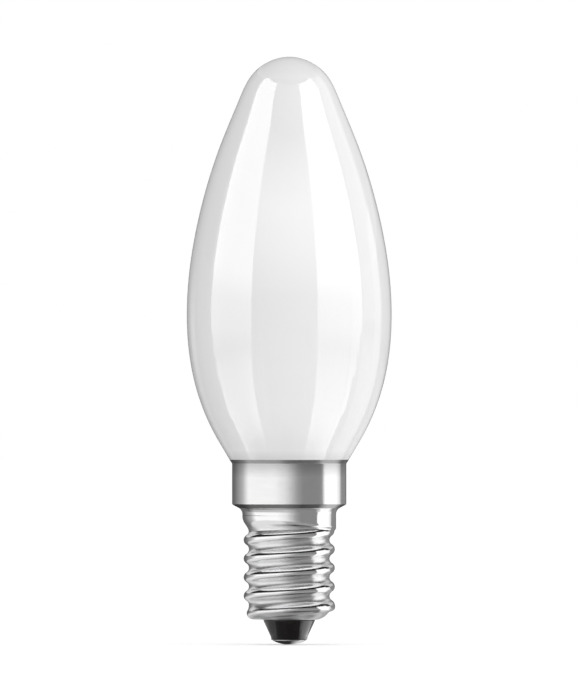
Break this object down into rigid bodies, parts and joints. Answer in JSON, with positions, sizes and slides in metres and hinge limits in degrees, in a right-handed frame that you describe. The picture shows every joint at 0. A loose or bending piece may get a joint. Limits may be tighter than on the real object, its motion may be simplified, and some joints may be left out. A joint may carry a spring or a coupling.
{
  "type": "candle bulb",
  "caption": "Slim candle-shaped lamp bulb of white opal glass on an E14 screw cap, with a black insulator and a domed centre contact, for chandeliers and small lamp holders.",
  "frame": {"origin": "lowest point of the centre contact, on the axis of the bulb", "axes": "+Z along the axis from the contact to the tip of the glass; +X is the side where a crest of the thread stands at 14.43 mm"},
  "size_m": [0.031, 0.031, 0.089],
  "materials": {
    "opal_glass": "glossy white opal",
    "plated_metal": "bright plated, finely brushed round the collar",
    "black_insulator": "glossy black",
    "contact_metal": "bright tinned"
  },
  "bodies": {
    "root": {"glass_bulb": "opal_glass", "screw_shell": "plated_metal", "insulator": "black_insulator", "centre_contact": "contact_metal"}
  },
  "joints": []
}
